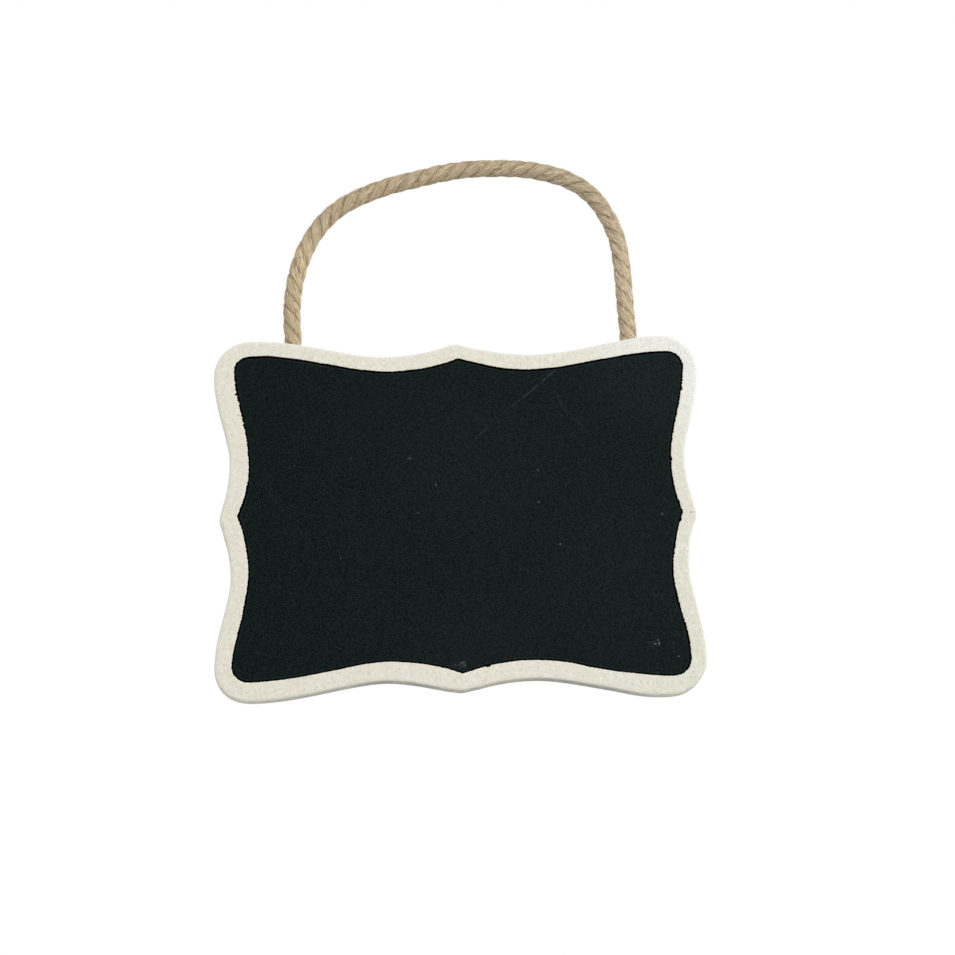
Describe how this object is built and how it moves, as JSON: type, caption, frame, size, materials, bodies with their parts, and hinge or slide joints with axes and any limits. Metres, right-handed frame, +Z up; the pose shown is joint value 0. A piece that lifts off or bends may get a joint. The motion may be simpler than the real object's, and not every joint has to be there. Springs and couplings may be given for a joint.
{
  "type": "wall chalkboard",
  "caption": "Small hanging chalkboard: a black writing panel in a scalloped white frame, with a back board and a rope loop stapled behind it.",
  "frame": {"origin": "the underside of the rope loop above the middle of the board, where a hook or nail carries it", "axes": "+Z up, +X to the right as the front is seen, and the writing side faces -Y"},
  "size_m": [0.1783, 0.014, 0.2056],
  "materials": {
    "frame_paint": "matt cream-white paint on fibreboard, softly rounded edges",
    "chalkboard_coat": "matt black writing coat with a fine pebbled grain on hardboard",
    "raw_board": "bare fibreboard, its edges painted like the frame",
    "jute": "natural three-strand rope with loose fibres",
    "staple_wire": "galvanised staple wire"
  },
  "bodies": {
    "rope_hanger": {"rope_loop": "jute"},
    "board": {"frame_ring": "frame_paint", "chalk_panel": "chalkboard_coat", "back_board": "raw_board", "rope_end_left": "jute", "rope_end_right": "jute", "staple_left_upper": "staple_wire", "staple_left_lower": "staple_wire", "staple_right_upper": "staple_wire", "staple_right_lower": "staple_wire"}
  },
  "joints": [
    {"name": "board_swing", "type": "hinge", "parent": "rope_hanger", "child": "board", "pos_m": [0, 0, -0.0606], "axis": [1, 0, 0], "range_deg": [-90, 90]}
  ]
}
